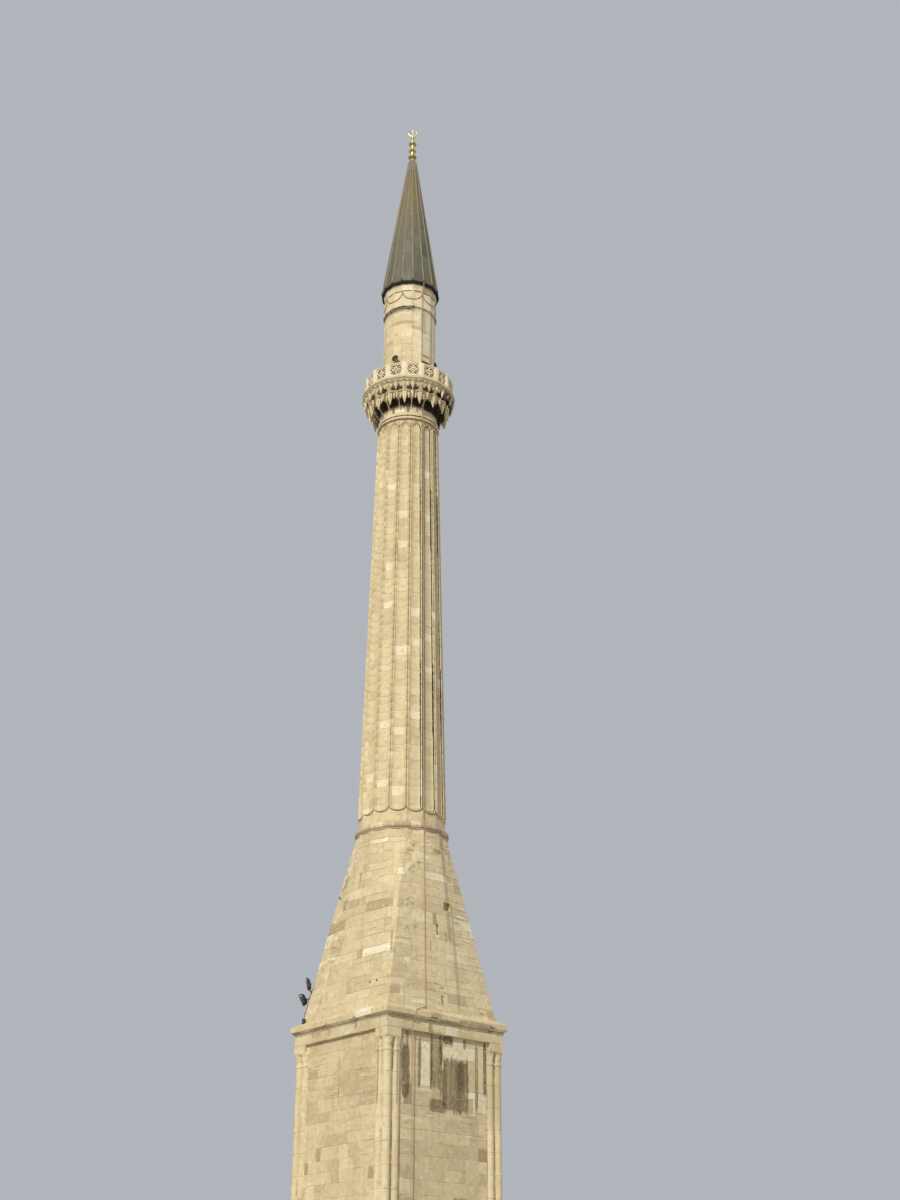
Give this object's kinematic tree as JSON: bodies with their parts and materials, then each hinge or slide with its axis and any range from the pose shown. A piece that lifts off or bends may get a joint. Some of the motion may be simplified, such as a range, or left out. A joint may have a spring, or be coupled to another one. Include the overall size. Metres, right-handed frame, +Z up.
{
  "type": "fluted stone minaret, 1:2 scale model",
  "caption": "Tall stone tower at 1:2 scale: square base, tapering transition, fluted shaft, corbelled balcony, upper shaft, lead cone and gilded finial.",
  "frame": {"origin": "centre of the square base at ground level", "axes": "+Z up along the tower, -Y towards the front face of the base, +X towards its right face"},
  "size_m": [3.0685, 3.004, 30],
  "materials": {
    "ashlar": "matte",
    "dressed_stone": "matte",
    "carved_stone": "matte",
    "paving": "matte",
    "lead_sheet": "satin",
    "gilding": "polished",
    "horn_paint": "satin",
    "lamp_paint": "satin",
    "conductor": "matte"
  },
  "bodies": {
    "root": {"base_floor": "paving", "front_wall": "ashlar", "right_wall": "ashlar", "left_wall": "ashlar", "back_wall_left": "ashlar", "back_wall_right": "ashlar", "back_wall_over_door": "ashlar", "corner_pillar_front_right": "dressed_stone", "corner_pillar_back_right": "dressed_stone", "corner_pillar_back_left": "dressed_stone", "corner_pillar_front_left": "dressed_stone", "base_cornice": "dressed_stone", "transition_front": "ashlar", "transition_right": "ashlar", "transition_back": "ashlar", "transition_left": "ashlar", "ring_moulding": "dressed_stone", "shaft_front": "ashlar", "shaft_right": "ashlar", "shaft_back": "ashlar", "shaft_left": "ashlar", "neck_moulding": "dressed_stone", "corbel_lower_tier": "carved_stone", "corbel_upper_tier": "carved_stone", "balcony_floor": "dressed_stone", "parapet_bays_1": "carved_stone", "parapet_bays_2": "carved_stone", "parapet_bays_3": "carved_stone", "parapet_bays_4": "carved_stone", "parapet_bays_5": "carved_stone", "parapet_bays_6": "carved_stone", "parapet_bays_7": "carved_stone", "parapet_bays_8": "carved_stone", "upper_shaft_front": "ashlar", "upper_shaft_back": "ashlar", "upper_shaft_left": "ashlar", "upper_shaft_door_left": "ashlar", "upper_shaft_door_right": "ashlar", "upper_shaft_over_door": "ashlar", "eave_cornice": "dressed_stone", "cone": "lead_sheet", "finial": "gilding", "crescent": "gilding", "loudspeaker_front": "horn_paint", "loudspeaker_right": "horn_paint", "loudspeaker_back": "horn_paint", "loudspeaker_left": "horn_paint", "floodlights": "lamp_paint", "lightning_conductor_lower": "conductor", "lightning_conductor_upper": "conductor"}
  },
  "joints": []
}
